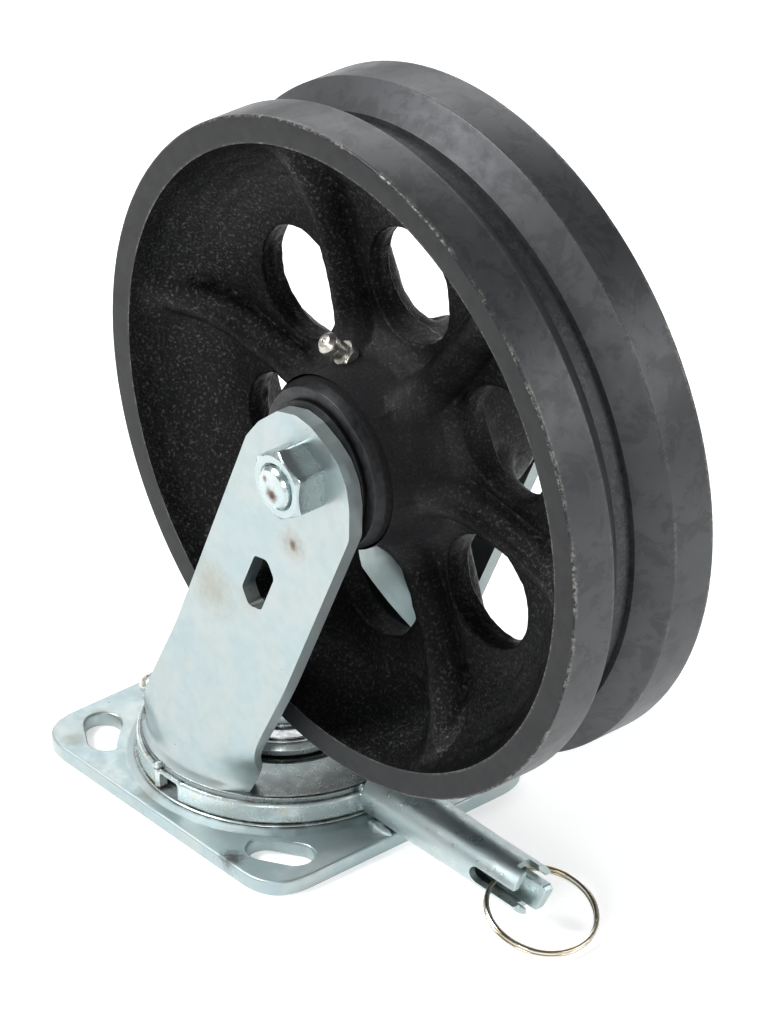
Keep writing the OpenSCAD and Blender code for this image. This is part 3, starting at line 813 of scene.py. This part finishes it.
def lock_ring_mesh():
    profile = rounded([(41.2, 6.9, 0.2), (44.2, 6.9, 0.35), (44.2, 12.6, 0.3), (43.6, 13.4, 0.5),
                       (43.0, 13.4, 0.1),
                       (43.0, 10.6, 0.1), (41.2, 10.6, 0.1)], 4, closed=True)
    points = turned(profile, (0, 0, 0), Z, X, 512)
    a = np.degrees(np.arctan2(points[:, :, 1], points[:, :, 0]))
    off = ((a + 45) % 90 - 45) * math.radians(1) * 44
    lip = np.exp(-((off + 5.6) / 0.9) ** 2) * 1.1 + np.exp(-((off - 5.2) / 0.8) ** 2) * 0.3
    lip *= eased((points[:, :, 2] - 6) / 2)
    grow = 1 + lip / 44
    points[:, :, 0] *= grow
    points[:, :, 1] *= grow
    solid = Solid()
    solid.grid(points, wrap_rows=True)
    return solid.mesh("lock_ring")


ring = made("lock_ring", lock_ring_mesh(), "fork", ["notched_lock_ring"], [ZINC_STACK])
cut(ring, notch_cutters())
bevelled(ring, 0.3, 2, 45)

tabs = Solid()
for k in range(4):
    a = math.radians(90 * k) - 5.6 / 44
    out, side = np.array([math.cos(a), math.sin(a), 0]), np.array([-math.sin(a), math.cos(a), 0])
    rows = []
    for e in np.radians(np.linspace(-88, 88, 13)):
        b = np.radians(np.arange(18) * 20)
        flat = np.sign(np.cos(b)) * np.abs(np.cos(b)) ** 0.7, np.sign(np.sin(b)) * np.abs(np.sin(b)) ** 0.7
        width = math.cos(e) ** 0.5
        section = 1.35 * np.outer(flat[0], out) + 1.0 * np.outer(flat[1], side)
        rows.append(43.7 * out + 13.2 * Z + width * section + 2.2 * math.sin(e) * Z)
    tabs.capped(rows)
made("lock_ring_tabs", tabs.mesh("tabs"), "fork", [], [ZINC_STACK], 60)


# ---------------------------------------------------------------- plate and race parts

plate_half = (57.15, 50.8)
corners = [(sx * plate_half[0], sy * plate_half[1], 15.0) for sx, sy in ((1, 1), (-1, 1), (-1, -1), (1, -1))]
outline = rounded(corners, 14, closed=True)
slot_loops = []
slot_a, slot_b = np.array([46.04, 33.34]), np.array([38.1, 38.1])
for sx in (1, -1):
    for sy in (1, -1):
        a, b = slot_a * (sx, sy), slot_b * (sx, sy)
        along = math.degrees(math.atan2(*(a - b)[::-1]))
        slot_loops.append(np.concatenate([ring_points(5.55, 16, a, along - 90, 180 * 16 / 15),
                                          ring_points(5.55, 16, b, along + 90, 180 * 16 / 15)]))
plate = Solid()
slab(plate, outline, slot_loops, (0, 0, 0), X, Y, Z, 0, PLATE_T, 0.35, 0.8, slot=0, wall=1, hole_wall=2)
boss = rounded([(50.5, PLATE_T - 0.05, 0), (47.5, PLATE_T - 0.02, 2.5), (44.9, 5.86, 0.8), (40, 5.86, 0.5),
                (39.2, 7.3, 0.5), (24, 7.3, 0)], 6)
lathe(plate, boss, (0, 0, 0), Z, X, 200)
plate_piece = made("plate", plate.mesh("plate"), "plate", ["top_plate"],
                   [ZINC_PLATE, ZINC_PLATE, ZINC_SLOT])
weighted(plate_piece)

lip = Solid()
lip_edge = rounded([(40.2, 5.8, 0), (44.4, 5.8, 0.2), (45.0, 6.2, 0.25), (44.4, 6.6, 0.2), (41, 6.5, 0),
                    (40.2, 7.1, 0)], 4)
lathe(lip, lip_edge, (0, 0, 0), Z, X, 200, closed=True)
made("race_lip", lip.mesh("race_lip"), "plate", ["lower_race_ring"], [ZINC_STACK])

cap = Solid()
cap_edge = rounded([(8.05, 16.1, 0), (22.3, 16.0, 0.3), (22.5, 18.0, 0.8), (21.2, 19.9, 1.2),
                    (8.05, 19.9, 0)], 5)
lathe(cap, cap_edge, (0, 0, 0), Z, X, 160, closed=True)
made("race_cap", cap.mesh("race_cap"), "plate", ["upper_race_cap"], [ZINC_STACK])
spread = Solid()
lathe(spread, rounded([(8.05, 19.9, 0), (19.4, 19.9, 0.2), (19.4, 20.6, 0.25), (8.05, 20.6, 0)], 3),
      (0, 0, 0), Z, X, 120, closed=True)
made("pin_washer", spread.mesh("pin_washer"), "plate", ["kingpin_washer"], [STEEL])
pin = Solid()
pin_edge = rounded([(0.01, 0, 0), (11.98, 0, 0.2), (8, 4, 0.3), (8, 20.62, 0), (14, 20.62, 0.2),
                    (14, 21.9, 0.9), (10, 22.6, 2), (0.01, 22.5, 0)], 5)
lathe(pin, pin_edge, (0, 0, 0), Z, X, 120)
made("pin", pin.mesh("pin"), "plate", ["kingpin"], [ZINC_NUT])


# ---------------------------------------------------------------- axle hardware

def hexagon(solid, af, height, bore, origin, axis, start, both=False):
    """Hexagonal nut or head with the curved chamfer of a turned corner, and a hole if bore is over zero."""
    steps = 144
    theta = np.radians(np.arange(steps) * 360 / steps)
    fold = (np.degrees(theta) + 30) % 60 - 30
    r_hex = np.minimum(af / 2 / np.cos(np.radians(fold)), af / math.sqrt(3) * 0.985)
    r_flat = af / 2 * 0.965
    side = np.cross(axis, start)
    spin = np.outer(np.cos(theta + math.pi / 6), start) + np.outer(np.sin(theta + math.pi / 6), side)

    def row(r, z):
        radii = np.reshape(r * np.ones(steps), (-1, 1))
        heights = np.reshape(z * np.ones(steps), (-1, 1))
        return origin + spin * radii + heights * axis

    drop = (r_hex - r_flat) * math.tan(math.radians(30))
    rows = [row(bore + 0.001, height - (0.8 if bore else 0)), row(bore + 0.8, height),
            row(r_flat - 0.15, height), row(r_flat + 0.1, height - 0.05),
            row(r_hex - 0.25, height - drop + 0.05), row(r_hex, height - drop - 0.3)]
    if both:
        rows += [row(r_hex, drop + 0.3), row(r_hex - 0.25, drop - 0.05), row(r_flat, 0)]
    else:
        rows += [row(r_hex, 0)]
    rows.append(row(bore + 0.001, 0))
    solid.grid(rows, wrap_rows=bore > 0)


nut = Solid()
nut_seat = np.array([AXLE[0], -LEG_OUT, AXLE[2]])
hexagon(nut, 19.05, 9.5, 6.36, nut_seat, -Y, Z)
weighted(made("axle_nut_piece", nut.mesh("nut"), "fork", ["axle_nut"], [ZINC_NUT], 32))

STAINED = zinc("zinc_bolt_end", 0.2, 0.15, 0.35, 0.28, sand=0.03,
               stains=(((AXLE[0] + 0.6, -48, AXLE[2] - 1.6), 3.4, (0.12, 0.06, 0.035), 0.95),
                       ((AXLE[0] - 2.4, -48, AXLE[2] + 2.5), 1.6, (0.2, 0.14, 0.1), 0.8)))
bolt = Solid()
end = rounded([(6.33, -38, 0), (6.33, -46.9, 0.3), (5.5, -47.9, 0.5), (3.4, -48.3, 2), (0.01, -48.35, 0)], 6)
lathe(bolt, end, (AXLE[0], 0, AXLE[2]), Y, X, 72)
lathe(bolt, [(6.33, -38), (6.33, 37)], (AXLE[0], 0, AXLE[2]), Y, X, 72)
hexagon(bolt, 19.05, 7.9, 0, np.array([AXLE[0], LEG_OUT, AXLE[2]]), Y, Z)
weighted(made("axle_bolt_piece", bolt.mesh("bolt"), "fork", ["axle_bolt"],
              [STAINED], 32))


def fitting(solid, origin, axis, start, af, hex_h, neck):
    """Grease fitting: hexagon, neck and ball head."""
    hexagon(solid, af, hex_h, 0, origin, axis, start, both=True)
    h = hex_h + neck
    shape = rounded([(2.8, hex_h - 0.2, 0), (2.7, h - 0.6, 0.8), (3.4, h + 0.4, 0.7), (3.4, h + 2.2, 1.1),
                     (2.1, h + 3.7, 0.7), (0.75, h + 3.95, 0.2), (0.7, h + 3.4, 0), (0.01, h + 3.3, 0)], 4)
    lathe(solid, shape, origin, axis, start, 40)
    lathe(solid, [(2.3, 0.2), (2.3, -2.5)], origin, axis, start, 24)


SWIVEL_FIT_R, SWIVEL_FIT_ANGLE, SWIVEL_FIT_TILT = 39.1, 213, 26
HUB_FIT_ANGLE = 104
turn, lean_out = math.radians(SWIVEL_FIT_ANGLE), math.radians(SWIVEL_FIT_TILT)
outward = np.array([math.cos(turn), math.sin(turn), 0])
fit_axis = math.sin(lean_out) * outward + math.cos(lean_out) * Z
swivel_fit = Solid()
fitting(swivel_fit, SWIVEL_FIT_R * outward + BASE_TOP * Z + 0.9 * fit_axis, fit_axis,
        np.cross(fit_axis, Y) / 0.8, 6.8, 2.4, 0.6)
weighted(made("swivel_fitting", swivel_fit.mesh("swivel_fitting"), "fork", ["swivel_grease_fitting"],
              [FITTING], 32))
turn = math.radians(HUB_FIT_ANGLE)
outward = np.array([math.cos(turn), 0, math.sin(turn)])
fit_axis = (outward - Y) / math.sqrt(2)
hub_fit = Solid()
fitting(hub_fit, AXLE + 26.5 * outward - 13 * Y + 1.2 * fit_axis, fit_axis,
        np.cross(fit_axis, X), 7.6, 3.2, 3.8)
weighted(made("hub_fitting", hub_fit.mesh("hub_fitting"), "wheel", ["hub_grease_fitting"],
              [FITTING], 32))


# ---------------------------------------------------------------- swivel lock

LOCK = np.array([0, 0, PIVOT[2]])
tube = Solid()
walls = rounded([(TUBE_BORE, 45.2, 0.3), (TUBE_R, 45.2, 0.5), (TUBE_R, 78, 1), (TUBE_R - 0.12, 84, 1),
                 (TUBE_R - 0.12, 113, 0.6), (TUBE_BORE, 113, 0.3)], 4, closed=True)
tube_points = turned(walls, LOCK, X, Z, 128)
crimp = np.array([82.6, -5.4, PIVOT[2] + 5.6])
gap = np.linalg.norm((tube_points - crimp) / np.array([1.4, 2.6, 2.6]), axis=2)
tube_points -= (np.exp(-gap ** 2) * 0.45)[:, :, None] * np.array([0, -0.69, 0.72])
tube.grid(tube_points, wrap_rows=True)
tube_piece = made("lock_tube", tube.mesh("tube"), "plate", ["lock_housing"], [ZINC_LOCK])


def box_cutter(lo, hi):
    solid = Solid()
    x0, y0, z0 = lo
    x1, y1, z1 = hi
    loop = np.array([(x0, y0, 0), (x1, y0, 0), (x1, y1, 0), (x0, y1, 0)], float)
    solid.capped([loop + z0 * Z, loop + z1 * Z])
    return cutter(solid)


def slot_cutter(x0, x1, half, z):
    """Slot through both walls of the tube, round at its inner end and open at its outer end."""
    pts = [(x0 + half - half * math.sin(t), half * math.cos(t)) for t in np.radians(np.linspace(0, 180, 15))]
    pts += [(x1, -half), (x1, half)]
    loop = np.array([(p[0], 0, z + p[1]) for p in pts])
    solid = Solid()
    solid.capped([loop - 12 * Y, loop + 12 * Y])
    return cutter(solid)


cut(tube_piece, [slot_cutter(94.2, 116, 2.75, PIVOT[2]),
                 box_cutter((109, -2.5, PIVOT[2] - 10), (116, 2.5, PIVOT[2] + 10))])
bevelled(tube_piece, 0.3, 2, 45)

beads = Solid()
for s in (-1, 1):
    count = 30
    rows = []
    for k in range(count):
        t = k / (count - 1)
        swell = math.sin(math.pi * (0.02 + 0.96 * t)) ** 0.75 * (1 + 0.05 * math.sin(t * 17 + s))
        centre = np.array([47.0 + 9.9 * t, s * (6.9 - 0.7 * t * t), 5.0])
        a = np.radians(np.arange(20) * 18)
        rows.append(centre + 2.3 * swell * (np.outer(np.cos(a), Y) * 1.05 + np.outer(np.sin(a), Z) * 0.95))
    beads.capped(rows)
bead_data = beads.mesh("beads")
roughen(bead_data, ((3.0, 0.3), (1.2, 0.12)), seed=5.5)
made("weld_beads", bead_data, "plate", ["lock_weld_beads"], [ZINC_LOCK], 60)

plunger = Solid()
nose = rounded([(0.01, 44.9, 0), (2.95, 44.9, 0.4), (3.95, 45.9, 0.6), (3.95, 57.1, 0)], 4)
lathe(plunger, nose, LOCK, X, Z, 48)
lathe(plunger, rounded([(3.2, 56, 0), (5.74, 56, 0.3), (5.74, 60, 0.3), (3.2, 60, 0)], 3), LOCK, X, Z, 48)
lathe(plunger, [(3.2, 57), (3.2, 94)], LOCK, X, Z, 40)
blade = rounded([(92.4, -3.2, 1), (95.4, -5, 1), (116, -5, 1.2), (120.4, 3.4, 1.2), (119.2, 5, 1.2),
                 (95.4, 5, 1), (92.4, 3.2, 1)], 4, closed=True)
slab(plunger, blade, [ring_points(2.1, 28, (PIVOT[0], 0))], LOCK - 1.6 * Y, X, Z, Y, 0, 3.2, 0.45, 0.45)
plunger_piece = made("plunger_rod", plunger.mesh("plunger"), "plunger", ["lock_plunger"],
                     [ZINC_LOCK], 50)
cut(plunger_piece, [box_cutter((40, -6, PIVOT[2] - 0.6), (52.5, 6, PIVOT[2] + 6))])
weighted(plunger_piece)

tilt = math.radians(18)
ring_u = np.array([math.cos(tilt), 0, -math.sin(tilt)])
ring_n = np.array([math.sin(tilt), 0, math.cos(tilt)])
RING_R, RING_WIRE_R = 16.2, 0.62
ring_c = PIVOT + RING_R * ring_u
coil = Solid()
turns, steps = 2.06, 260
rows = []
for k in range(steps + 1):
    t = k / steps
    a = math.radians(200) + t * turns * 2 * math.pi
    out = math.cos(a) * ring_u + math.sin(a) * Y
    level = (eased((t * turns - 0.93) / 0.14) - 0.5) * 1.2
    centre = ring_c + RING_R * out + level * ring_n
    b = np.radians(np.arange(16) * 22.5)
    rows.append(centre + RING_WIRE_R * (np.outer(np.cos(b), out) * 1.25 + np.outer(np.sin(b), ring_n) * 0.97))
coil.capped(rows)
made("split_ring", coil.mesh("split_ring"), "ring", ["pull_ring"], [NICKEL], 60)

spring = Solid()
rows = []
coils, steps = 6, 150
COIL_START, COIL_LENGTH, COIL_R, COIL_WIRE_R = 61.0, 18.1, 4.6, 0.55
for k in range(steps + 1):
    t = k / steps
    a = t * coils * 2 * math.pi
    out = math.cos(a) * Y + math.sin(a) * Z
    centre = LOCK + (COIL_START + COIL_LENGTH * t) * X + COIL_R * out
    b = np.radians(np.arange(10) * 36)
    rows.append(centre + COIL_WIRE_R * (np.outer(np.cos(b), out) + np.outer(np.sin(b), X)))
spring.capped(rows)
spring_piece = made("lock_coil", spring.mesh("lock_coil"), "plate", ["lock_spring"],
                    [STEEL], 60)
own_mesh(spring_piece)

for node in ("main_race_balls", "upper_race_balls", "lock_front_bush", "lock_rear_bush", "axle_bushing",
             "roller_cage", "bearing_rollers", "hub_retaining_rings"):
    part = frame["nodes"][node]
    part.data.materials.clear()
    part.data.materials.append(STEEL)
    part.data.polygons.foreach_set("use_smooth", [True] * len(part.data.polygons))
    part.data.set_sharp_from_angle(angle=math.radians(30))


# ---------------------------------------------------------------- floor, light and camera

def floor_material():
    p = Paint("floor_white")
    tone = p.mix(p.part(p.noise(400, 2, 0.5), 0.3, 0.7), (0.90, 0.90, 0.90), (0.93, 0.93, 0.93))
    p.put(p.shader.inputs["Emission Color"], (1, 1, 1, 1))
    p.put(p.shader.inputs["Emission Strength"], 0.36)
    return p.done(tone, 0.9, 0.0, Specular_IOR_Level=0.1)


floor_data = bpy.data.meshes.new("floor")
size = 6.0
floor_corners = [(-size, -size, 0), (size, -size, 0), (size, size, 0), (-size, size, 0)]
floor_data.from_pydata(floor_corners, [], [(0, 1, 2, 3)])
floor = bpy.data.objects.new("floor", floor_data)
bpy.context.scene.collection.objects.link(floor)
floor.location.z = -0.0002
floor_data.materials.append(floor_material())


def lamp(name, azimuth, elevation, distance, width, height, power):
    """Soft box at an angle round the object, facing it. Azimuth 0 is on the -Y side."""
    a, e = math.radians(azimuth), math.radians(elevation)
    back = Vector((math.sin(a) * math.cos(e), -math.cos(a) * math.cos(e), math.sin(e)))
    light = bpy.data.lights.new(name, "AREA")
    light.shape, light.size, light.size_y = "RECTANGLE", width, height
    light.energy = power
    o = bpy.data.objects.new(name, light)
    bpy.context.scene.collection.objects.link(o)
    o.location = Vector((0.05, 0, 0.1)) + back * distance
    o.rotation_euler = back.to_track_quat("Z", "Y").to_euler()


lamp("key_left", -38, 48, 1.6, 0.7, 0.7, 20)
lamp("fill_right", 122, 24, 1.8, 1.3, 0.8, 7)
lamp("back_wide", 230, 36, 2.0, 2.4, 1.2, 15)
lamp("front_soft", 36, 22, 1.7, 0.5, 0.4, 6)

world = bpy.data.worlds.new("studio")
bpy.context.scene.world = world
world.use_nodes = True
wt = world.node_tree
coords = wt.nodes.new("ShaderNodeTexCoord")
split = wt.nodes.new("ShaderNodeSeparateXYZ")
wt.links.new(coords.outputs["Generated"], split.inputs[0])
ramp = wt.nodes.new("ShaderNodeValToRGB")
wt.links.new(split.outputs["Z"], ramp.inputs["Fac"])
ramp.color_ramp.elements[0].position = 0.0
ramp.color_ramp.elements[0].color = (0.95, 0.95, 0.95, 1)
ramp.color_ramp.elements[1].position = 1.0
ramp.color_ramp.elements[1].color = (0.30, 0.31, 0.32, 1)
mid = ramp.color_ramp.elements.new(0.52)
mid.color = (0.75, 0.76, 0.77, 1)
top = ramp.color_ramp.elements.new(0.66)
top.color = (0.24, 0.24, 0.25, 1)
wt.links.new(ramp.outputs["Color"], wt.nodes["Background"].inputs["Color"])
wt.nodes["Background"].inputs["Strength"].default_value = 0.46
bpy.context.scene.view_settings.view_transform = "Standard"
bpy.context.scene.view_settings.look = "Medium High Contrast"

azimuth, elevation, roll = math.radians(50.45), math.radians(31.18), math.radians(-0.65)
distance, target = 1.70233, Vector((0.04805, 0, 0.11062))
back = Vector((math.sin(azimuth) * math.cos(elevation), -math.cos(azimuth) * math.cos(elevation),
               math.sin(elevation)))
right = Vector((math.cos(azimuth), math.sin(azimuth), 0))
up = back.cross(right)
right, up = math.cos(roll) * right + math.sin(roll) * up, -math.sin(roll) * right + math.cos(roll) * up
camera = bpy.data.objects.new("camera", bpy.data.cameras.new("camera"))
bpy.context.scene.collection.objects.link(camera)
camera.data.sensor_width = 36
camera.data.lens = 211.59
camera.data.clip_start, camera.data.clip_end = 0.05, 50
placed = Matrix((right, up, back)).transposed().to_4x4()
placed.translation = target + back * distance
camera.matrix_world = placed
bpy.context.scene.camera = camera
